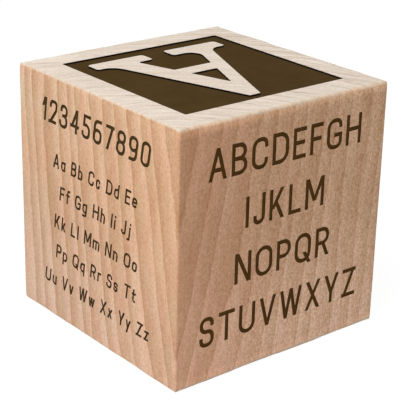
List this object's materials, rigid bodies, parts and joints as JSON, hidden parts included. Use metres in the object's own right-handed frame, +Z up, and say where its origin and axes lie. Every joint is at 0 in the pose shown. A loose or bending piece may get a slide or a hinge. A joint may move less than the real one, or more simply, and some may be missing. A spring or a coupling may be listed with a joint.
{
  "type": "alphabet block",
  "caption": "Solid maple alphabet block with eased edges, a raised letter in a sunk top panel and brown-filled rows of letters and numbers cut into its sides.",
  "frame": {"origin": "middle of the underside", "axes": "+Z up through the top letter's face, -Y out of the front face with the large capitals, -X out of the left face with the small rows"},
  "size_m": [0.089, 0.089, 0.089],
  "materials": {
    "maple": "sanded bare maple",
    "brown_infill": "matt dark brown paint"
  },
  "bodies": {
    "root": {"maple_block": "maple", "top_panel_infill": "brown_infill", "letter_counter_infill": "brown_infill", "front_row_1_infill": "brown_infill", "front_row_2_infill": "brown_infill", "front_row_3_infill": "brown_infill", "front_row_4_infill": "brown_infill", "left_heading_infill": "brown_infill", "left_row_1_infill": "brown_infill", "left_row_2_infill": "brown_infill", "left_row_3_infill": "brown_infill", "left_row_4_infill": "brown_infill", "left_row_5_infill": "brown_infill", "right_row_1_infill": "brown_infill", "right_row_2_infill": "brown_infill", "right_row_3_infill": "brown_infill", "back_circle_infill": "brown_infill", "back_square_infill": "brown_infill", "back_triangle_infill": "brown_infill", "back_star_infill": "brown_infill"}
  },
  "joints": []
}
